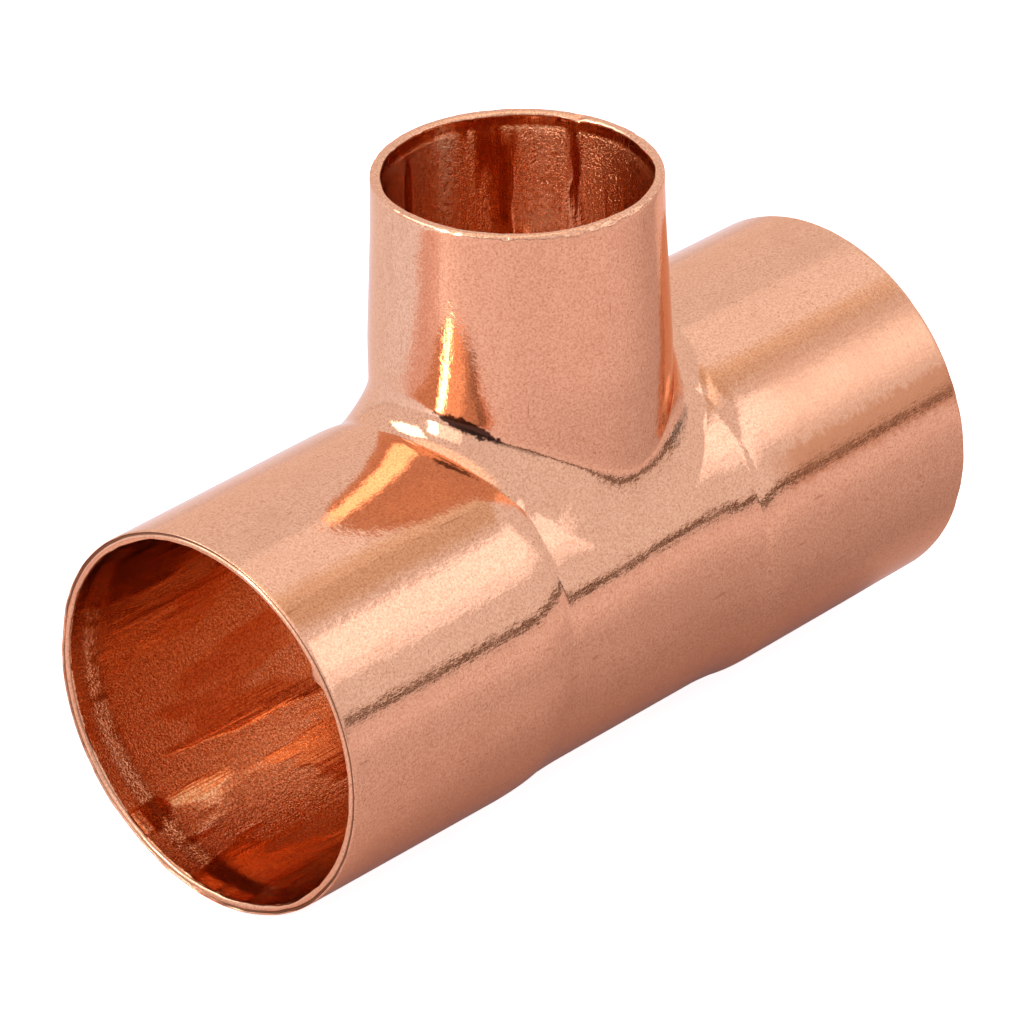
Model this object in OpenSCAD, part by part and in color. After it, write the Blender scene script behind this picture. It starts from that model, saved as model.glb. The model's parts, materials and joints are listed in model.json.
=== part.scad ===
// Reducing tee for soldering onto copper tube: an equal run with a smaller branch square to it.
// One piece, drawn from seamless copper tube. The run lies along X and the branch points up Z.
// The origin is the crossing of the run's axis and the branch's axis.

/* [Run] */
// Bore of each run socket, for tube of 22.225 mm (7/8 in) outside diameter
run_bore_d = 22.33; // [22.28:0.01:22.38]
// Wall of the run sockets
run_wall = 0.9; // [0.8:0.05:1.1]
// End to end length of the run
run_length = 54.3; // [50:0.1:60]
// Depth of each run socket, from its rim to its tube stop
run_socket_depth = 19.05; // [16:0.05:19.5]
// Outside diameter of the run between its sockets, where the tube is not expanded
middle_d = 23.62; // [23.5:0.01:23.8]
// Inside diameter of the run between its sockets, smaller than the tube that stops there
middle_bore_d = 21.82; // [21.5:0.01:22.1]
// How much a socket swells outwards just past its shoulder, dying away at the rim
socket_swell = 0.1; // [0:0.05:0.2]
// Length of the outside slope from the middle up to a socket
shoulder_length = 3.2; // [2:0.1:4]
// Distance from the branch axis to the middle of that slope
shoulder_x = 7.7; // [7:0.1:9]

/* [Branch] */
// Bore of the branch socket, for tube of 15.875 mm (5/8 in) outside diameter
branch_bore_d = 15.98; // [15.93:0.01:16.03]
// Wall at the rim of the branch, thinner than the run because the branch is drawn out of it
branch_rim_wall = 0.68; // [0.6:0.01:0.9]
// Height of the branch rim over the run axis
branch_height = 25.7; // [24:0.1:30]
// Depth of the branch socket, from its rim to its tube stop
branch_socket_depth = 12.7; // [10:0.1:13]
// Outside diameter of the branch at its foot
branch_foot_d = 18.18; // [17.8:0.01:18.6]
// Inside diameter of the branch under its tube stop
branch_throat_d = 15.4; // [14.8:0.01:15.6]

/* [Junction] */
// Radius of the outside fillet between branch and run
outer_fillet_r = 3.4; // [2.5:0.1:4]
// Radius of the rounded inside edge between branch and run
inner_fillet_r = 4.5; // [4:0.1:5]

/* [Rims] */
// Size of the broken edge on the outside of each rim
rim_break = 0.15; // [0.05:0.05:0.25]
// Size of the lead-in on the inside of each rim
lead_in = 0.1; // [0.05:0.05:0.2]

/* [Hidden] */

copper = [0.83, 0.52, 0.40];

run_half = run_length / 2;
run_bore_r = run_bore_d / 2;
run_socket_r = run_bore_r + run_wall;
middle_r = middle_d / 2;
middle_bore_r = middle_bore_d / 2;
run_stop_x = run_half - run_socket_depth;
shoulder_start = shoulder_x - shoulder_length / 2;
shoulder_end = shoulder_x + shoulder_length / 2;

branch_bore_r = branch_bore_d / 2;
branch_rim_r = branch_bore_r + branch_rim_wall;
branch_foot_r = branch_foot_d / 2;
branch_throat_r = branch_throat_d / 2;
branch_stop_z = branch_height - branch_socket_depth;
// The branch tapers above this height and is straight below it
branch_taper_z = 14.5;

// Length of the inside slope at a tube stop
stop_slope = 0.9;
// How far the cutting solids run past each rim
overrun = 1;
// How far the edges of a fillet sink into the walls that it joins
sink = 0.05;
// How far the hidden back of a fillet lies inside the solids that it joins
backing = 1.2;

slope_steps = 6;
fillet_slices = 60;
fillet_steps = 6;
$fn = 96;

// Angle of a slice round the branch axis
function slice_angle(k) = (k + 0.5) * 360 / fillet_slices;

// 0 to 1 along a smooth S
function ease(t) = (1 - cos(180 * min(1, max(0, t)))) / 2;

// Outside radius of the run at a distance x from the branch axis
function run_outer_r(x) =
    let (
        swollen_r = run_socket_r + socket_swell,
        to_rim = (run_half - abs(x)) / (run_half - shoulder_end)
    )
    abs(x) > shoulder_end
        ? run_socket_r + socket_swell * to_rim
        : middle_r + (swollen_r - middle_r) * ease(1 - (shoulder_end - abs(x)) / shoulder_length);

// Points of an S-shaped slope from (r0, z0) to (r1, z1), both ends included
function slope(r0, z0, r1, z1) =
    [for (i = [0 : slope_steps])
        [r0 + (r1 - r0) * ease(i / slope_steps), z0 + (z1 - z0) * i / slope_steps]];

// Half of a run profile, from the branch axis out to its end, and its mirror image before it
function both_halves(half) =
    concat([for (i = [len(half) - 1 : -1 : 0]) [half[i][0], -half[i][1]]], half);

module run_outside() {
    rotate([0, 90, 0])
        rotate_extrude()
            polygon(both_halves(concat(
                slope(middle_r, shoulder_start, run_socket_r + socket_swell, shoulder_end),
                [[run_socket_r, run_half - rim_break],
                 [run_socket_r - rim_break, run_half],
                 [0, run_half]])));
}

module run_inside() {
    rotate([0, 90, 0])
        rotate_extrude()
            polygon(both_halves(concat(
                slope(middle_bore_r, run_stop_x - stop_slope, run_bore_r, run_stop_x),
                [[run_bore_r, run_half - lead_in],
                 [run_bore_r + lead_in, run_half],
                 [run_bore_r + lead_in, run_half + overrun],
                 [0, run_half + overrun]])));
}

module branch_outside() {
    rotate_extrude()
        polygon([
            [0, 0],
            [branch_foot_r, 0],
            [branch_foot_r, branch_taper_z],
            [branch_rim_r, branch_height - rim_break],
            [branch_rim_r - rim_break, branch_height],
            [0, branch_height]]);
}

module branch_inside() {
    rotate_extrude()
        polygon(concat(
            [[0, 0], [branch_throat_r, 0]],
            slope(branch_throat_r, branch_stop_z - stop_slope, branch_bore_r, branch_stop_z),
            [[branch_bore_r, branch_height - lead_in],
             [branch_bore_r + lead_in, branch_height],
             [branch_bore_r + lead_in, branch_height + overrun],
             [0, branch_height + overrun]]));
}

// Height of the run's surface over its axis at a distance y from the run's middle plane
function surface_z(run_r, y) = sqrt(run_r * run_r - y * y);

// One section of the fillet, in the upright plane at angle a round the branch axis.
// A ball of radius ball_r rests on the run, of radius run_r, and against the branch.
// The section follows the ball from the branch down to the run, then turns in behind both walls.
function fillet_section(a, run_r, branch_r, ball_r) =
    let (
        x = (branch_r + ball_r) * cos(a),
        y = (branch_r + ball_r) * sin(a),
        z = surface_z(run_r + ball_r, y),
        centre = [x, y, z],
        to_branch = [-cos(a), -sin(a), 0],
        to_run = [0, -y, -z] / (run_r + ball_r),
        spread = acos(to_branch * to_run),
        back_r = branch_r - backing,
        back = [back_r * cos(a), back_r * sin(a), surface_z(run_r, back_r * sin(a)) - backing]
    )
    concat(
        [for (i = [0 : fillet_steps])
            let (
                t = i / fillet_steps,
                toward = (sin(spread * (1 - t)) * to_branch + sin(spread * t) * to_run) / sin(spread),
                reach = i == 0 || i == fillet_steps ? ball_r + sink : ball_r
            )
            centre + reach * toward],
        [back]);

// The solid between run and branch: a ring of sections round the branch axis
module fillet_ring(run_radii, branch_r, ball_r) {
    size = fillet_steps + 2;
    points = [for (k = [0 : fillet_slices - 1])
        each fillet_section(slice_angle(k), run_radii[k], branch_r, ball_r)];
    faces = [for (k = [0 : fillet_slices - 1], i = [0 : size - 1])
        let (
            next_k = (k + 1) % fillet_slices,
            next_i = (i + 1) % size,
            a = k * size + i,
            b = k * size + next_i,
            c = next_k * size + next_i,
            d = next_k * size + i
        )
        each [[a, d, c], [a, c, b]]];
    polyhedron(points, faces);
}

// Radius of the run where the outside fillet lands, one value for each slice
outer_landing = [for (k = [0 : fillet_slices - 1])
    run_outer_r((branch_foot_r + outer_fillet_r) * cos(slice_angle(k)))];
inner_landing = [for (k = [0 : fillet_slices - 1]) middle_bore_r];

module tee_body() {
    color(copper)
        difference() {
            union() {
                run_outside();
                branch_outside();
                fillet_ring(outer_landing, branch_foot_r, outer_fillet_r);
            }
            union() {
                run_inside();
                branch_inside();
                fillet_ring(inner_landing, branch_throat_r, inner_fillet_r);
            }
        }
}

tee_body();
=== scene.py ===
"""Looks of a wrought copper reducing tee with solder sockets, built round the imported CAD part.

All sizes in this script are millimetres until a mesh is made, when they become metres.
The run lies along X, the branch points up Z, and t is the angle round the run from the top
towards -Y. phi is the angle round the branch from +X towards +Y.
"""

import json
from math import cos, radians, sin
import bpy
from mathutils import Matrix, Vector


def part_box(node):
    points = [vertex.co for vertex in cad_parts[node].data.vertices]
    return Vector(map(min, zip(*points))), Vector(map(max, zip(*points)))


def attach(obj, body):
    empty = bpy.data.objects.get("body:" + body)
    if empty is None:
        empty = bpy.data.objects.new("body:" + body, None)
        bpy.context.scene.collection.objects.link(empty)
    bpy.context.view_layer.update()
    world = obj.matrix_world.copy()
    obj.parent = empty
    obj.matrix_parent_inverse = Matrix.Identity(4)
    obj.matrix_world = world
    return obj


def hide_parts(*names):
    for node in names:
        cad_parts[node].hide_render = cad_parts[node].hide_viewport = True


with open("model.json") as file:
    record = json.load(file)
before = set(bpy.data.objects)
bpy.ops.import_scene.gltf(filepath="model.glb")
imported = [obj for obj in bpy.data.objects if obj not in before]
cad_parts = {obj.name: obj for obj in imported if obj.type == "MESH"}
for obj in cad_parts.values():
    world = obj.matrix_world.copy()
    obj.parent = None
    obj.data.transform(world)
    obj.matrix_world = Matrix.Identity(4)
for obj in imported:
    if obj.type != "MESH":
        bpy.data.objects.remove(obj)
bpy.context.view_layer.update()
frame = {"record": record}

from types import SimpleNamespace

import bpy
import numpy as np
from mathutils import Matrix, Vector

MM = 0.001

# ---------------------------------------------------------------- sizes from the frame
NODE = "tee_body"
low, high = (np.array(corner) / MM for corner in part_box(NODE))
mounts = {mount["name"]: mount for mount in frame["record"]["mounts"]}

run_half = high[0]
branch_top = high[2]
widest_r = high[1]
run_bore_r = mounts["run_socket_left"]["dims"]["r_mm"]
run_stop_x = mounts["run_socket_right"]["pos_m"][0] / MM
branch_bore_r = mounts["branch_socket"]["dims"]["r_mm"]
branch_stop_z = mounts["branch_socket"]["pos_m"][2] / MM

# ---------------------------------------------------------------- sizes of the drawn shape
crease_left = 8.15
crease_right = 8.95
swell = 0.1
socket_r = widest_r - swell
middle_r = 11.81
middle_bore_r = 10.91
foot_r = 9.09
throat_r = 7.7
inner_fillet_r = 4.3
stop_slope = 0.9
belly_height = 0.28
# How far the wall is scraped open at a mouth, and how deep from the rim that goes
run_scrape = 0.28
run_scrape_depth = 1.75
branch_scrape = 0.07
branch_scrape_depth = 1.0
# How far the drawn rows stop short of an end, where the rim takes over
rim_reach = 0.3

# Grid lines along the run, round it, and from the branch outwards
patch_x = 15.0
patch_t = np.radians(72)
patch_x_cells = 82
patch_t_cells = 84
belly_cells = 124
outside_rows = dict(end=36, apron=30, blend=18, branch=28)
inside_rows = dict(end=18, apron=12, blend=10, branch=20)


def ease(t):
    """0 to 1 along a smooth S."""
    t = np.clip(t, 0, 1)
    return (1 - np.cos(np.pi * t)) / 2


def bump_at(x, centre, width):
    """A rounded bump of height 1."""
    return np.exp(-((x - centre) / width) ** 2)


def knots(value, at, heights, spread):
    """Smooth curve through a few knots, softened over the given spread."""
    steps = np.linspace(-1, 1, 9)
    weights = 1 - np.abs(steps) * 0.9
    total = sum(w * np.interp(value + s * spread, at, heights) for s, w in zip(steps, weights))
    return total / sum(weights)


# ---------------------------------------------------------------- profiles
def run_outer(x, t):
    """Outside radius of the run. Each socket rounds over and drops to the middle at an inner corner.

    The corner is sharp on top and softens round the sides, sooner on the left.
    """
    a, turned = np.abs(x), np.degrees(np.abs(np.angle(np.exp(1j * t))))
    left = x < 0
    crease = np.where(left, crease_left, crease_right)
    soft = ease((turned - np.where(left, 64, 88)) / 16)
    brow = np.where(left, 2.45, 1.35) + 1.2 * soft
    swollen = socket_r + swell * np.clip((run_half - a) / (run_half - 10), 0, 1)
    fall = np.clip((crease + brow - a) / brow, 0, 1) ** 2
    ledge = np.where(left, 0.04, 0.08) * ease((a - crease + 2.6) / 2.4)
    belly = belly_height * bump_at(x, 0, 6.0) * bump_at(turned, 62, 24)
    middle = middle_r + ledge + belly
    sharp = np.where(left, 0, ease((turned - 45) / 10))
    half_corner = 0.16 - 0.04 * sharp + 1.3 * soft
    corner = ease((a - crease + half_corner) / (2 * half_corner))
    edge = swollen - (swollen - middle_r - 0.12 - 0.10 * sharp) * fall
    return middle + (edge - middle) * corner


def run_inner(x, t):
    """Inside radius of the run: the socket, the step opened up at its mouth and its tube stop."""
    a = np.abs(x)
    r = middle_bore_r + (run_bore_r - middle_bore_r) * ease((a - run_stop_x + stop_slope) / stop_slope)
    edge = run_half - run_scrape_depth + 0.12 * np.sin(3 * t + 0.6) + 0.05 * np.sin(11 * t)
    return r + run_scrape * np.clip((a - edge + 0.35) / 0.7, 0, 1)


def branch_outer(phi, z):
    """Outside radius of the branch, drawn in towards its rim."""
    return knots(z, [13, 15, 18, 22, branch_top], [9.09, 9.095, 8.95, 8.765, 8.68], 0.9)


def branch_inner(phi, z):
    """Inside radius of the branch: scraped open at its rim, then socket, stop and throat."""
    r = throat_r + (branch_bore_r - throat_r) * ease((z - branch_stop_z + stop_slope) / stop_slope)
    scraped = branch_top - branch_scrape_depth + 0.35 * np.sin(4 * phi + 1)
    scraped = scraped + 0.15 * np.sin(9 * phi) + 0.08 * np.sin(23 * phi)
    flutes = 0.030 * np.sin(5 * phi + 0.4) + 0.030 * np.sin(9 * phi + 2.0) + 0.010 * np.sin(17 * phi)
    flutes = flutes * ease((z - branch_stop_z + 2) / 2)
    return r + flutes + branch_scrape * ease((z - scraped) / 0.2)


# The outside blend round the branch, by the angle phi in degrees. It is tightest towards the left
# socket and climbs the branch most on that side. Near and far sides are alike.
BLEND_AT = (0, 20, 40, 56, 67, 77, 90, 97, 115, 130, 141, 155, 172, 180)
BLEND_RISE = (2.4, 2.3, 2.1, 1.95, 1.83, 1.63, 1.6, 1.85, 2.3, 2.5, 2.42, 2.44, 2.45, 2.53)
BLEND_SPREAD = (2.0, 2.6, 3.4, 4.0, 6.0, 9.0, 13.0, 12.5, 6.2, 3.5, 2.3, 1.7, 1.5, 1.4)
FOOT_PULL = (0.5, 0.5, 0.45, 0.25, 0.15, 0.1, 0.1, 0.1, 0.12, 0.16, 0.2, 0.25, 0.28, 0.3)
TOP_PULL = (0.2, 0.2, 0.2, 0.15, 0.1, 0.1, 0.1, 0.1, 0.1, 0.18, 0.3, 0.36, 0.36, 0.36)
INNER_PULL = 0.36


def from_front(phi):
    """Angle from +X in degrees, 0 to 180, the same on the near and the far side."""
    return np.degrees(np.abs(np.angle(np.exp(1j * phi))))


def outer_blend(phi):
    """How high the blend climbs the branch, and the radius of a ball that meets the run at its foot."""
    at = from_front(phi)
    return knots(at, BLEND_AT, BLEND_RISE, 7), knots(at, BLEND_AT, BLEND_SPREAD, 9)


def outer_pulls(phi):
    """How far the blend runs on straight at its foot and at its top, as shares of its width."""
    at = from_front(phi)
    return knots(at, BLEND_AT, FOOT_PULL, 7)[:, None], knots(at, BLEND_AT, TOP_PULL, 7)[:, None]


def inner_blend(phi):
    """The same for the inside: a ball of one radius all the way round."""
    corner = np.sqrt(middle_bore_r ** 2 - (throat_r * np.sin(phi)) ** 2)
    reach = throat_r + inner_fillet_r
    top = np.sqrt((middle_bore_r + inner_fillet_r) ** 2 - (reach * np.sin(phi)) ** 2)
    return top - corner, np.full_like(phi, inner_fillet_r)


def inner_pulls(phi):
    """The same for the inside, alike all the way round."""
    return INNER_PULL, INNER_PULL


def smoothed(rows, reach):
    """Each row averaged with its neighbours round a closed loop."""
    return sum(np.roll(rows, k, 0) for k in range(-reach, reach + 1)) / (2 * reach + 1)


# ---------------------------------------------------------------- one skin of the tee
class Skin:
    """Points of one side of the wall, outside or inside."""

    def __init__(self, run_r, branch_r, base_run, base_branch, blend, pulls):
        self.run_r, self.branch_r = run_r, branch_r
        self.base_run, self.base_branch, self.blend, self.pulls = base_run, base_branch, blend, pulls

    def on_run(self, x, t):
        r = self.run_r(x, t)
        return np.stack([x, -r * np.sin(t), r * np.cos(t)], -1)

    def on_branch(self, phi, z):
        r = self.branch_r(phi, z)
        return np.stack([r * np.cos(phi), r * np.sin(phi), z], -1)

    def foot(self, phi):
        """Where the blend meets the run: its x and its angle t round the run."""
        _, ball = self.blend(phi)
        reach = self.base_branch + ball
        y = reach * np.sin(phi)
        return reach * np.cos(phi), np.arctan2(-y, np.sqrt((self.base_run + ball) ** 2 - y ** 2))

    def top(self, phi):
        """Height at which the blend meets the branch."""
        rise, _ = self.blend(phi)
        return np.sqrt(self.base_run ** 2 - (self.base_branch * np.sin(phi)) ** 2) + rise

    def on_blend(self, phi, v, outer_x, outer_t):
        """v runs from 0 on the run to 1 on the branch. outer_x, outer_t: the grid line's outer end."""
        x, t = self.foot(phi)
        start, end = self.on_run(x, t), self.on_branch(phi, self.top(phi))
        step = 0.01
        inward = start - self.on_run(x + step * (outer_x - x), t + step * (outer_t - t))
        inward = smoothed(inward / np.linalg.norm(inward, axis=1)[:, None], 7)
        inward /= np.linalg.norm(inward, axis=1)[:, None]
        down = self.on_branch(phi, self.top(phi) - step) - end
        down /= np.linalg.norm(down, axis=1)[:, None]
        gap = np.linalg.norm(end - start, axis=1)[:, None]
        lower_pull, upper_pull = self.pulls(phi)
        lower, upper = start + lower_pull * gap * inward, end + upper_pull * gap * down
        w = 1 - v
        return w ** 3 * start + 3 * w * w * v * lower + 3 * w * v * v * upper + v ** 3 * end


outside = Skin(run_outer, branch_outer, middle_r, foot_r, outer_blend, outer_pulls)
inside = Skin(run_inner, branch_inner, middle_bore_r, throat_r, inner_blend, inner_pulls)


# ---------------------------------------------------------------- grid lines
def crowded(low_end, high_end, cells, centres, crowding=1.6, width=1.2):
    """Grid lines from one end to the other, closer together near the given centres."""
    fine = np.linspace(low_end, high_end, 4001)
    density = 1 + crowding * sum(bump_at(fine, c, width) for c in centres)
    length = np.concatenate([[0], np.cumsum((density[1:] + density[:-1]) / 2)])
    return np.interp(np.linspace(0, length[-1], cells + 1), length, fine)


x_patch = crowded(-patch_x, patch_x, patch_x_cells, [-crease_left, crease_right], 3.0, 0.7)
t_patch = np.linspace(-patch_t, patch_t, patch_t_cells + 1)
t_belly = np.linspace(patch_t, 2 * np.pi - patch_t, belly_cells + 1)[1:-1]
t_lines = np.concatenate([t_patch, t_belly])


def run_lines(end_cells):
    """Grid lines along the whole run, crowded towards its two mouths."""
    u = np.linspace(0, 1, end_cells + 1)[1:]
    x_end = patch_x + (run_half - rim_reach - patch_x) * (1 - (1 - u) ** 1.3)
    return np.concatenate([-x_end[::-1], x_patch, x_end])


def patch_border():
    """Columns and rows of the patch's border, anticlockwise. The branch grows from inside the patch."""
    last_c, last_r = patch_x_cells, patch_t_cells
    border = [(last_c, r) for r in range(last_r, 0, -1)]
    border += [(c, 0) for c in range(last_c, 0, -1)]
    border += [(0, r) for r in range(last_r)]
    border += [(c, last_r) for c in range(last_c)]
    return border


BORDER = patch_border()
border_x = np.array([x_patch[c] for c, _ in BORDER])
border_t = np.array([t_patch[r] for _, r in BORDER])
PHI = np.arctan2(-middle_r * border_t, border_x)


class Builder:
    """Collects vertices, faces and, for each vertex, which zone of the skin it belongs to."""

    def __init__(self):
        self.points, self.faces, self.zones, self.count = [], [], [], 0

    def add(self, points, zone):
        """zone is (is inside, is branch, is rim), each 0 to 1 for all the points."""
        index = np.arange(self.count, self.count + len(points))
        self.points.append(points)
        self.zones.append(np.tile(np.array(zone, float), (len(points), 1)))
        self.count += len(points)
        return index

    def quads(self, a, b, c, d, flip):
        """One face for each set of four corners, turned over if flip is true."""
        faces = np.stack([a, b, c, d], -1)
        self.faces.append(faces[:, ::-1] if flip else faces)

    def strip(self, a, b, flip):
        """Quads between two closed rows of vertices."""
        self.quads(a, np.roll(a, -1), np.roll(b, -1), b, flip)


def build_run(builder, skin, is_inside, end_cells):
    """Adds the run of one skin, open under the branch. Returns its grid of vertices."""
    x_lines = run_lines(end_cells)
    first, last = end_cells, end_cells + patch_x_cells
    columns, around = len(x_lines), len(t_lines)
    grid = np.full((columns, around), -1)
    for c in range(columns):
        hidden = np.zeros(around, bool)
        if first < c < last:
            hidden[1:patch_t_cells] = True
        keep = np.where(~hidden)[0]
        p = skin.on_run(np.full(len(keep), x_lines[c]), t_lines[keep])
        grid[c, keep] = builder.add(p, (is_inside, 0, 0))
    for c in range(columns - 1):
        r = np.arange(patch_t_cells if first <= c < last else 0, around)
        s = (r + 1) % around
        builder.quads(grid[c, r], grid[c, s], grid[c + 1, s], grid[c + 1, r], is_inside)
    return grid


def branch_rows(skin, is_inside, rows):
    """Points and zone of each row, from the patch's border in to the blend, then up the branch."""
    foot_x, foot_t = skin.foot(PHI)
    for k in range(1, rows["apron"] + 1):
        u = 1 - (1 - k / rows["apron"]) ** 1.35
        x = border_x + (foot_x - border_x) * u
        t = border_t + (foot_t - border_t) * u
        yield skin.on_run(x, t), (is_inside, 0.5 * u ** 3, 0)
    for k in range(1, rows["blend"] + 1):
        v = k / rows["blend"]
        yield skin.on_blend(PHI, v, border_x, border_t), (is_inside, 0.5 + 0.5 * v, 0)
    start = skin.top(PHI)
    end = branch_top - rim_reach
    for k in range(1, rows["branch"] + 1):
        z = start + (end - start) * (1 - (1 - k / rows["branch"]) ** 1.25)
        yield skin.on_branch(PHI, z), (is_inside, 1, 0)


def build_skin(builder, skin, is_inside, rows):
    """Adds one skin and returns the loops at its left end, right end and branch end."""
    grid = build_run(builder, skin, is_inside, rows["end"])
    previous = np.array([grid[rows["end"] + c, r] for c, r in BORDER])
    for points, zone in branch_rows(skin, is_inside, rows):
        row = builder.add(points, zone)
        builder.strip(previous, row, is_inside)
        previous = row
    return grid[0], grid[-1], previous


# ---------------------------------------------------------------- rims
def ragged(angle, seed, coarsest, finest):
    """A closed random line of about -1 to 1 over the given angles, rough at several sizes."""
    rng = np.random.default_rng(seed)
    line, total, turns = np.zeros(len(angle)), 0, coarsest
    while turns < finest:
        weight = turns ** -0.35
        line += weight * np.sin(int(turns) * angle + rng.uniform(0, 2 * np.pi))
        total += weight
        turns *= 1.37
    return line / total * 2.2


def near_angle(angle, centre, width):
    """1 at an angle in degrees, fading over the given width in degrees."""
    off = np.degrees(np.angle(np.exp(1j * (angle - np.radians(centre)))))
    return np.exp(-(off / width) ** 2)


def build_run_rim(builder, outer_loop, inner_loop, side):
    """The cut end of the run: an outer lip, a groove, a rounded inner lip and a ragged inner edge."""
    t = t_lines
    x_end = np.full(len(t), side * run_half)
    outer_r, inner_r = run_outer(x_end, t), run_inner(x_end, t)
    wall = outer_r - inner_r
    lower = near_angle(t, -140 * -side, 75)
    rough = ragged(t, 31 if side < 0 else 32, 5, 60) * (0.35 + 4 * lower)
    rough_in = ragged(t, 33 if side < 0 else 34, 7, 90)
    groove = 0.24 + 0.12 * lower
    groove_half = 0.10 + 0.05 * lower
    groove_depth = 0.10 + 0.16 * lower
    flake = near_angle(t, 54 * -side, 2.2)
    # Each row: share of the wall from outside (0) to inside (1), depth below the end, raggedness,
    # darkening
    rows = [
        (0.00, 0.16, 0.00, 0), (0.02, 0.07, 0.01, 0), (0.07, 0.02, 0.02, 0),
        (groove - groove_half - 0.04, 0.03, 0.03, 0), (groove - groove_half, groove_depth, 0.03, 1),
        (groove + groove_half, groove_depth, 0.02, 1), (groove + groove_half + 0.04, 0.03, 0.02, 0),
        (0.58, 0.00, 0.00, 0),
        (0.72, 0.01, 0.01, 0), (0.84, 0.03, 0.02, 0), (0.93, 0.07, 0.04, 0.2), (1.00, 0.15, 0.05, 0.5),
    ]
    previous = outer_loop
    for share, depth, wobble, darkening in rows:
        line = rough if np.mean(share) < 0.5 else rough_in
        r = np.minimum(outer_r - wall * share + wobble * line, outer_r + 0.03)
        if np.mean(share) > 0.8:
            r = r - 0.45 * flake
        x = side * (run_half - depth - 0.8 * wobble * np.abs(line))
        row = builder.add(np.stack([x, -r * np.sin(t), r * np.cos(t)], -1), (0, 0, 0.5 + 0.5 * darkening))
        builder.strip(previous, row, flip=side < 0)
        previous = row
    builder.strip(previous, inner_loop, flip=side < 0)


def build_branch_rim(builder, outer_loop, inner_loop):
    """The cut end of the branch: a rough outer edge, a flat face with a nick, a ragged inner edge."""
    top = np.full(len(PHI), branch_top)
    outer_r = branch_outer(PHI, top)
    wall = outer_r - branch_inner(PHI, top)
    rough, rough_in = ragged(PHI, 21, 9, 130), ragged(PHI, 22, 7, 110)
    front = near_angle(PHI, -115, 60)
    nick = near_angle(PHI, 16, 2.2)
    # Each row: share of the wall from outside (0) to inside (1), depth below the end, raggedness
    rows = [
        (0.00, 0.20, 0.015), (0.03, 0.10, 0.035), (0.10, 0.04, 0.035), (0.20, 0.01, 0.02),
        (0.36, 0.00, 0.01), (0.50, 0.01, 0.01), (0.64, 0.00, 0.01), (0.80, 0.02, 0.03),
        (0.92, 0.06, 0.05), (1.00, 0.16, 0.05),
    ]
    previous = outer_loop
    for share, depth, wobble in rows:
        line = rough * (0.6 + 2.2 * front) if share < 0.3 else rough_in
        r = outer_r - wall * share - wobble * np.abs(line)
        z = branch_top - depth - 1.2 * wobble * np.abs(line) - 0.18 * nick * (share > 0.4)
        row = builder.add(np.stack([r * np.cos(PHI), r * np.sin(PHI), z], -1), (0, 1, 0.5))
        builder.strip(previous, row, flip=False)
        previous = row
    builder.strip(previous, inner_loop, flip=False)


def fold_shade_at(points):
    """Painted shade in the fold at the branch's foot, 0 to 1: a dark pocket on the left of the front.
    """
    phi = np.arctan2(points[:, 1], points[:, 0])
    below = outside.top(phi) - points[:, 2]
    centre, spread, depth = -157, 14, 0.42
    turned = np.degrees(np.angle(np.exp(1j * (phi - np.radians(centre)))))
    width = depth * bump_at(turned, 0, spread) + 0.02
    near_branch = np.hypot(points[:, 0], points[:, 1]) < 11
    return bump_at(turned, 0, spread) * bump_at(below, depth, width) * near_branch


def build_tee():
    """The whole fitting as one closed mesh, with the values that its material reads."""
    builder = Builder()
    outer_left, outer_right, outer_branch = build_skin(builder, outside, 0, outside_rows)
    inner_left, inner_right, inner_branch = build_skin(builder, inside, 1, inside_rows)
    build_run_rim(builder, outer_left, inner_left, -1)
    build_run_rim(builder, outer_right, inner_right, 1)
    build_branch_rim(builder, outer_branch, inner_branch)
    points = np.concatenate(builder.points)
    zones = np.concatenate(builder.zones)
    faces = np.concatenate(builder.faces)
    # Painted shade in the fold at the branch's foot, on the outside only
    fold_shade = fold_shade_at(points) * (1 - zones[:, 0])

    mesh = bpy.data.meshes.new("copper_tee")
    mesh.from_pydata((points * MM).tolist(), [], faces.tolist())
    mesh.validate()
    mesh.polygons.foreach_set("use_smooth", np.ones(len(mesh.polygons), bool))
    for name, values in zip(("inside", "branch", "rim", "fold_shade"), [*zones.T, fold_shade]):
        layer = mesh.attributes.new(name, "FLOAT", "POINT")
        layer.data.foreach_set("value", values.astype(np.float32))
    tee = bpy.data.objects.new("copper_tee", mesh)
    bpy.context.scene.collection.objects.link(tee)
    return tee


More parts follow.
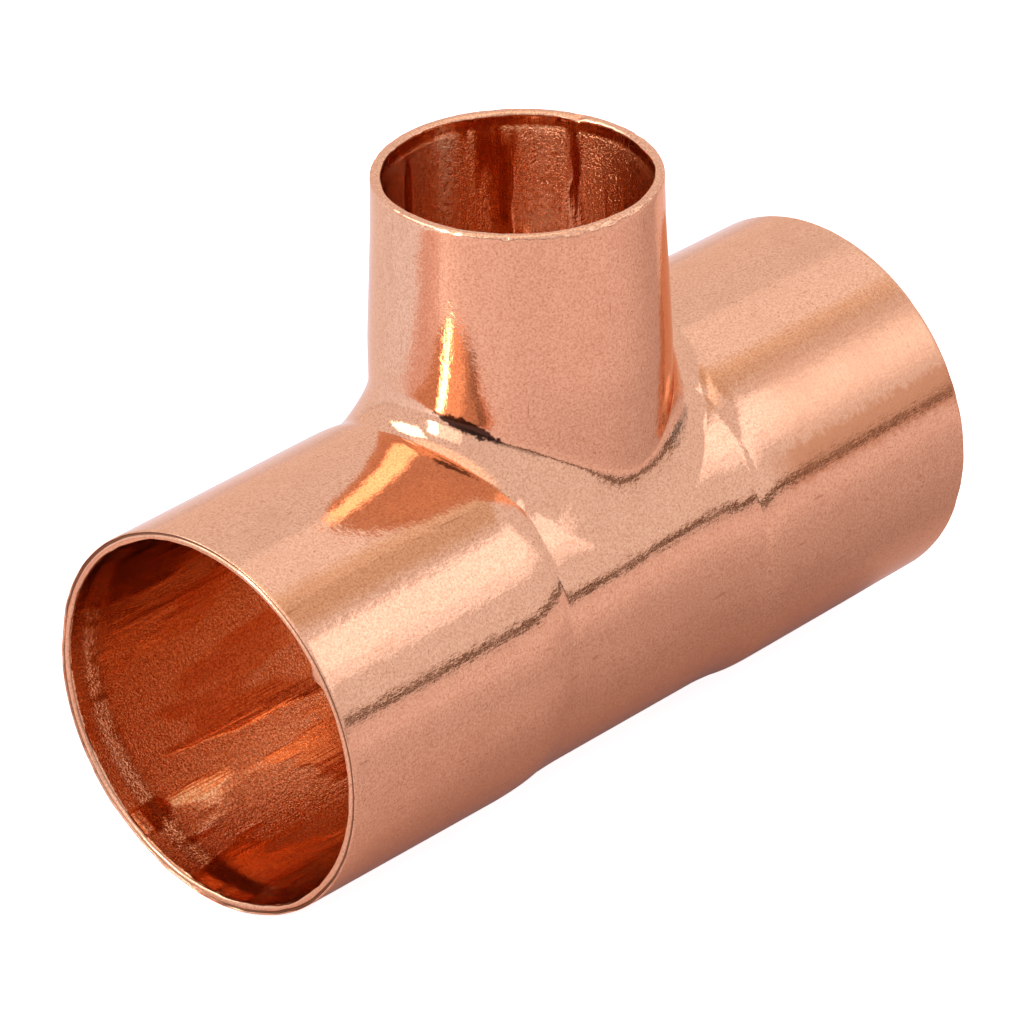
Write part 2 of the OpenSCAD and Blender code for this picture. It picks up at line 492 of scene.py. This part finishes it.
# ---------------------------------------------------------------- materials
class Nodes:
    """Short calls for building a node tree."""

    def __init__(self, tree):
        self.tree = tree
        tree.nodes.clear()

    def make(self, kind, inputs=None, **settings):
        node = self.tree.nodes.new(kind)
        for name, value in settings.items():
            setattr(node, name, value)
        for name, value in (inputs or {}).items():
            self.put(node.inputs[name], value)
        return node

    def put(self, socket, value):
        if isinstance(value, bpy.types.NodeSocket):
            self.tree.links.new(value, socket)
        else:
            socket.default_value = value

    def math(self, operation, a, b=0.0):
        node = self.make("ShaderNodeMath", operation=operation)
        self.put(node.inputs[0], a)
        self.put(node.inputs[1], b)
        return node.outputs[0]

    def product(self, first, *others):
        for other in others:
            first = self.math("MULTIPLY", first, other)
        return first

    def total(self, first, *others):
        for other in others:
            first = self.math("ADD", first, other)
        return first

    def place_mm(self):
        """The point on the object, in millimetres."""
        place = self.make("ShaderNodeTexCoord").outputs["Object"]
        return self.stretch(place, (1 / MM, 1 / MM, 1 / MM))

    def split(self, vector):
        return self.make("ShaderNodeSeparateXYZ", {"Vector": vector}).outputs

    def attribute(self, name):
        return self.make("ShaderNodeAttribute", attribute_name=name).outputs["Fac"]

    def noise(self, vector, scale, detail=2.0, roughness=0.5):
        node = self.make("ShaderNodeTexNoise", {"Vector": vector, "Scale": scale, "Detail": detail,
                                                "Roughness": roughness})
        return node.outputs["Fac"]

    def ramp(self, value, low_at, high_at, low_to=0.0, high_to=1.0):
        """low_to up to low_at, high_to past high_at and straight between them."""
        node = self.make("ShaderNodeMapRange", {"Value": value, "From Min": low_at, "From Max": high_at,
                                                "To Min": low_to, "To Max": high_to})
        return node.outputs["Result"]

    def stretch(self, vector, scale):
        node = self.make("ShaderNodeMapping", {"Vector": vector, "Scale": scale})
        return node.outputs["Vector"]

    def mix(self, factor, a, b):
        node = self.make("ShaderNodeMix", data_type="RGBA")
        self.put(node.inputs["Factor"], factor)
        self.put(node.inputs[6], a)
        self.put(node.inputs[7], b)
        return node.outputs[2]

    def mix_value(self, factor, a, b):
        node = self.make("ShaderNodeMix", data_type="FLOAT")
        self.put(node.inputs["Factor"], factor)
        self.put(node.inputs[2], a)
        self.put(node.inputs[3], b)
        return node.outputs[0]


# Colours of the copper and of its marks
BRIGHT = (0.83, 0.475, 0.30, 1)
DULL = (0.66, 0.325, 0.19, 1)
PORE = (0.52, 0.23, 0.13, 1)
STAIN = (0.66, 0.33, 0.20, 1)
NICK = (0.42, 0.18, 0.10, 1)
SCRATCH = (0.70, 0.35, 0.20, 1)
PAINTED_BAND_SHADE = (0.57, 0.22, 0.10, 1)
INNER_DULL = (0.62, 0.23, 0.09, 1)
INNER_BRIGHT = (0.92, 0.53, 0.30, 1)
INNER_BRANCH = (0.62, 0.16, 0.03, 1)
STREAK_HIGHLIGHT = (1.0, 0.66, 0.40, 1)
PAINTED_FOLD_SHADE = (0.07, 0.03, 0.02, 1)
RIM_DARK = (0.16, 0.07, 0.04, 1)
EDGE_TINT = (1.0, 0.8, 0.68, 1)


def streak(n, m, angle, width, edge):
    """1 along one line up the inside of the branch, at an angle in degrees round its axis, else 0."""
    c, s = cos(radians(angle)), sin(radians(angle))
    across = n.math("SUBTRACT", n.product(m.y, c), n.product(m.x, s))
    across = n.math("ABSOLUTE", across)
    along = n.total(n.product(m.x, c), n.product(m.y, s))
    mask = n.product(n.ramp(across, width + edge, width - edge), n.ramp(along, 3, 4))
    return n.product(mask, m.inner, n.ramp(m.branch, 0.5, 1.0))


def copper_marks(n):
    """Textures and masks, 0 to 1, that the copper's colour, roughness and relief share."""
    mm = n.place_mm()
    x, y, z = n.split(mm)
    m = SimpleNamespace(mm=mm, x=x, y=y, z=z)
    m.inner, m.branch, m.rim = n.attribute("inside"), n.attribute("branch"), n.attribute("rim")
    m.blotch = n.noise(mm, 0.35, 3, 0.6)
    m.grain = n.noise(mm, 7.0, 2, 0.7)
    m.coarse = n.noise(mm, 3.0, 1, 0.5)
    outer = n.math("SUBTRACT", 1.0, m.inner)
    # Fine scratches round the right socket, on the side towards -Y
    m.scratched = n.product(n.ramp(x, 10.5, 14), n.ramp(y, -6, -8), n.ramp(z, 3.5, 6.5), outer)
    # A dark band painted along the right socket, on the same side: painted shade that stands in for a
    # dark reflection
    frayed_z = n.total(z, n.product(n.math("SUBTRACT", m.coarse, 0.5), 1.2))
    band = n.product(n.ramp(frayed_z, 6.2, 5.7), n.ramp(frayed_z, 3.6, 4.2))
    m.band = n.product(band, n.ramp(x, 9.8, 12.5), n.ramp(y, -3, -6), outer)
    # Two rough streaks up the inside of the branch with a painted highlight, the second one fainter
    # higher up
    painted_streak_76 = n.product(streak(n, m, 75.6, 0.6, 0.5), 0.9)
    painted_streak_32 = n.product(streak(n, m, 32, 0.9, 1.5), n.ramp(z, 21.5, 18.5, 0.4, 1.0))
    streaks = n.math("MAXIMUM", painted_streak_76, painted_streak_32)
    m.streaks = n.product(streaks, n.ramp(m.coarse, 0.35, 0.55, 0.3, 1.0))
    return m


def copper_colour(n, m):
    pores = n.noise(m.mm, 7.5, 1, 0.5)
    colour = n.mix(n.ramp(m.grain, 0.36, 0.60), DULL, BRIGHT)
    colour = n.mix(n.ramp(pores, 0.36, 0.26), colour, PORE)
    # Handling marks: faint stains, and short nicks that follow the draw
    colour = n.mix(n.ramp(m.blotch, 0.50, 0.68, 0.0, 0.30), colour, STAIN)
    nicks_run = n.noise(n.stretch(m.mm, (0.55, 3.4, 3.4)), 1.0, 1, 0.5)
    nicks_branch = n.noise(n.stretch(m.mm, (3.4, 3.4, 0.55)), 1.0, 1, 0.5)
    nicks = n.ramp(n.mix_value(m.branch, nicks_run, nicks_branch), 0.27, 0.22)
    colour = n.mix(n.product(nicks, 0.5), colour, NICK)
    colour = n.mix(n.product(m.scratched, 0.55), colour, SCRATCH)
    # Painted shade: the dark reflection band along the right socket
    colour = n.mix(n.product(m.band, 0.7), colour, PAINTED_BAND_SHADE)
    # The inside is redder, most of all in the branch
    inner = n.mix(n.ramp(m.grain, 0.38, 0.62), INNER_DULL, INNER_BRIGHT)
    inner = n.mix(n.product(m.branch, 0.45), inner, INNER_BRANCH)
    # Painted highlight: the streaks inside the branch are lighter, as well as rougher
    inner = n.mix(n.product(m.streaks, 0.8), inner, STREAK_HIGHLIGHT)
    colour = n.mix(n.product(m.inner, 0.85), colour, inner)
    # Painted shade in the fold at the branch's foot, with a frayed edge
    frayed = n.product(n.math("SUBTRACT", m.coarse, 0.5), 0.9)
    colour = n.mix(n.ramp(n.total(n.attribute("fold_shade"), frayed), 0.34, 0.52), colour, PAINTED_FOLD_SHADE)
    # Darker in the grooves of the rims and at their inner edge, where the rim's value is over a half
    return n.mix(n.ramp(m.rim, 0.55, 0.85, 0.0, 0.9), colour, RIM_DARK)


def copper_roughness(n, m):
    return n.total(
        n.ramp(m.blotch, 0.3, 0.7, 0.06, 0.11),
        n.product(m.rim, 0.24),
        n.product(m.inner, n.mix_value(m.branch, 0.03, 0.02)),
        n.product(m.scratched, 0.12),
        n.product(m.streaks, 0.28))


def copper_relief(n, m):
    """Height of the fine relief in millimetres."""
    # Lines left by the draw, along the run or up the branch
    along_run = n.noise(n.stretch(m.mm, (0.05, 2.6, 2.6)), 1.0, 3, 0.6)
    along_branch = n.noise(n.stretch(m.mm, (2.6, 2.6, 0.05)), 1.0, 3, 0.6)
    drawn = n.mix_value(m.branch, along_run, along_branch)
    # Rough patches inside, where the wall was stretched, but not at the branch's rim
    zone_run = n.noise(n.stretch(m.mm, (0.10, 0.45, 0.45)), 1.0, 2, 0.5)
    zone_branch = n.noise(n.stretch(m.mm, (0.5, 0.5, 0.10)), 1.0, 2, 0.5)
    patchy = n.mix_value(m.branch, n.ramp(zone_run, 0.44, 0.52), n.ramp(zone_branch, 0.40, 0.47))
    patchy = n.product(m.inner, patchy, n.ramp(m.z, 24.9, 24.6))
    patch_depth = n.mix_value(m.branch, 0.045, 0.085)
    peel = n.noise(m.mm, 1.3, 2, 0.5)
    round_run = n.noise(n.stretch(m.mm, (5.0, 0.5, 0.5)), 1.0, 2, 0.6)
    return n.total(
        n.product(m.grain, n.total(0.0035, n.product(patchy, patch_depth))),
        n.product(m.coarse, 0.005),
        n.product(peel, n.mix_value(m.inner, 0.012, 0.003)),
        n.product(drawn, n.mix_value(m.inner, 0.005, 0.035)),
        n.product(round_run, m.scratched, 0.012))


def copper_material():
    material = bpy.data.materials.new("drawn_copper")
    material.use_nodes = True
    n = Nodes(material.node_tree)
    m = copper_marks(n)
    relief = copper_relief(n, m)
    bump = n.make("ShaderNodeBump", {"Height": relief, "Strength": 1.0, "Distance": MM})
    shader = n.make("ShaderNodeBsdfPrincipled", {
        "Base Color": copper_colour(n, m), "Metallic": 1.0, "Roughness": copper_roughness(n, m),
        "Normal": bump.outputs["Normal"]})
    shader.inputs["Specular Tint"].default_value = EDGE_TINT
    out = n.make("ShaderNodeOutputMaterial")
    n.put(out.inputs["Surface"], shader.outputs["BSDF"])
    return material


# ---------------------------------------------------------------- stage, lights and camera
def floor_material():
    """Pale table. Seen directly it is lifted to white, and only the copper reflects its tints."""
    material = bpy.data.materials.new("white_table")
    material.use_nodes = True
    n = Nodes(material.node_tree)
    x, y, _ = n.split(n.place_mm())
    # Faint tints that only show in the copper: shade on the right of the front, cooler light behind
    # and warmer light behind on the left
    across = n.math("SUBTRACT", n.product(x, 0.73), n.product(y, 0.68))
    shade = n.product(n.ramp(across, -20, 30), n.ramp(y, -80, -35), n.ramp(y, -8, -14))
    colour = n.mix(n.product(shade, 0.27), (0.70, 0.60, 0.61, 1), (0, 0, 0, 1))
    colour = n.mix(n.ramp(y, 36, 54), colour, (0.67, 0.74, 0.86, 1))
    warm = n.product(n.ramp(x, -40, -48), n.ramp(y, 22, 28), n.ramp(y, 52, 45))
    colour = n.mix(warm, colour, (0.60, 0.42, 0.40, 1))
    surface = n.make("ShaderNodeBsdfPrincipled", {"Base Color": colour, "Roughness": 0.5,
                                                  "Specular IOR Level": 0.3})
    seen = n.make("ShaderNodeLightPath").outputs["Is Camera Ray"]
    lift = n.make("ShaderNodeEmission", {"Color": (1, 1, 1, 1), "Strength": n.product(seen, 0.85)})
    both = n.make("ShaderNodeAddShader")
    n.put(both.inputs[0], surface.outputs["BSDF"])
    n.put(both.inputs[1], lift.outputs["Emission"])
    out = n.make("ShaderNodeOutputMaterial")
    n.put(out.inputs["Surface"], both.outputs["Shader"])
    return material


def make_floor():
    mesh = bpy.data.meshes.new("table")
    half = 6.0  # metres, out of the picture on all sides
    z = low[2] * MM
    corners = [(-half, -half, z), (half, -half, z), (half, half, z), (-half, half, z)]
    mesh.from_pydata(corners, [], [(0, 1, 2, 3)])
    table = bpy.data.objects.new("table", mesh)
    bpy.context.scene.collection.objects.link(table)
    table.data.materials.append(floor_material())


def direction(azimuth, elevation):
    """Unit vector towards an azimuth (0 along +X, 90 along +Y) and an elevation, in degrees."""
    a, e = radians(azimuth), radians(elevation)
    return Vector((cos(a) * cos(e), sin(a) * cos(e), sin(e)))


def softbox(name, azimuth, elevation, distance, width, height, level, colour=(1, 1, 1)):
    """A rectangular light that faces the part, in metres. level is its brightness, 1 being white."""
    light = bpy.data.lights.new(name, "AREA")
    light.color = colour
    light.shape = "RECTANGLE"
    light.size, light.size_y = width, height
    light.energy = level * np.pi * width * height
    box = bpy.data.objects.new(name, light)
    away = direction(azimuth, elevation)
    box.location = away * distance
    box.rotation_euler = away.to_track_quat("Z", "Y").to_euler()
    bpy.context.scene.collection.objects.link(box)


def make_world():
    """A white room. Its darker and warmer parts show only in reflections, never behind the part."""
    world = bpy.data.worlds.new("studio")
    bpy.context.scene.world = world
    world.use_nodes = True
    n = Nodes(world.node_tree)
    look = n.make("ShaderNodeTexCoord").outputs["Generated"]
    x, y, z = n.split(look)
    # A tan patch high up on the -Y side, and a brighter ceiling
    tan = n.product(n.ramp(z, 0.66, 0.70), n.ramp(y, -0.05, -0.12), n.ramp(y, -0.46, -0.36))
    tan = n.product(tan, n.ramp(x, 0.25, 0.45))
    colour = n.mix(tan, (1, 0.97, 1.05, 1), (0.84, 0.68, 0.56, 1))
    colour = n.mix(n.ramp(z, 0.82, 0.90), colour, (1.6, 1.4, 1.3, 1))
    # The far end of the room unlit near the floor, a little less where front takes 0.12 off, and the
    # dark gap between the table and the light on the -Y side
    far_end = n.make("ShaderNodeVectorMath", operation="DOT_PRODUCT")
    n.put(far_end.inputs[0], look)
    n.put(far_end.inputs[1], direction(-140, 8))
    toward = far_end.outputs["Value"]
    shade = n.product(n.ramp(toward, 0.76, 0.86, 0.0, 0.55), n.ramp(z, 0.24, 0.14))
    front = n.product(n.ramp(toward, 0.2, 0.6, 0.0, -0.12), n.ramp(z, 0.72, 0.5))
    unlit = n.total(front, shade)  # never above 0, and the gap's value takes over below 0
    gap = n.product(n.ramp(z, 0.005, 0.012), n.ramp(z, 0.085, 0.05), n.ramp(y, -0.1, -0.3))
    dark = n.math("MAXIMUM", unlit, n.product(gap, 0.85))
    colour = n.mix(n.product(gap, n.ramp(y, -0.45, -0.55)), colour, (1.0, 0.62, 0.42, 1))
    level = n.math("SUBTRACT", 1.0, dark)
    seen = n.make("ShaderNodeLightPath").outputs["Is Camera Ray"]
    level = n.mix_value(seen, level, 1.0)
    colour = n.mix(seen, colour, (1, 1, 1, 1))
    background = n.make("ShaderNodeBackground", {"Color": colour, "Strength": level})
    out = n.make("ShaderNodeOutputWorld")
    n.put(out.inputs["Surface"], background.outputs["Background"])


def make_lights():
    """Softboxes round the part, each placed by the highlight that it makes on the copper."""
    softbox("side_box", -52, 31, 0.9, 0.62, 0.34, 0.45, (0.92, 1.0, 1.12))
    softbox("side_box_core", -52, 33.5, 0.88, 0.58, 0.21, 0.28, (0.92, 1.0, 1.12))
    softbox("top_box", 5, 52, 0.9, 0.47, 0.30, 0.18)
    softbox("key_box", 164, 25, 0.9, 0.13, 0.34, 17.0)
    softbox("left_box", 178, 28, 0.95, 0.5, 0.45, 0.8)
    softbox("back_box", 128, 42, 0.9, 0.5, 0.4, 3.0)


def make_camera():
    """At the angle from which the part is looked down on past its left socket."""
    azimuth, elevation, roll = (radians(angle) for angle in (-46.60, 28.78, -1.015))
    distance, aside, above = 414.5 * MM, -0.70 * MM, 2.513 * MM
    back = Vector((sin(azimuth) * cos(elevation), -cos(azimuth) * cos(elevation), sin(elevation)))
    level_right = (-back).cross(Vector((0, 0, 1))).normalized()
    level_up = level_right.cross(-back)
    right = cos(roll) * level_right + sin(roll) * level_up
    up = -sin(roll) * level_right + cos(roll) * level_up
    data = bpy.data.cameras.new("camera")
    data.sensor_width, data.lens = 36, 241.0
    data.clip_start = 0.01
    data.dof.use_dof = False
    camera = bpy.data.objects.new("camera", data)
    turn = Matrix((right, up, back)).transposed().to_4x4()
    camera.matrix_world = Matrix.Translation(back * distance + right * aside + up * above) @ turn
    bpy.context.scene.collection.objects.link(camera)
    bpy.context.scene.camera = camera


# ---------------------------------------------------------------- scene
make_camera()
tee = build_tee()
tee.data.materials.append(copper_material())
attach(tee, "root")
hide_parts(NODE)
make_floor()
make_world()
make_lights()
bpy.context.scene.view_settings.view_transform = "Standard"
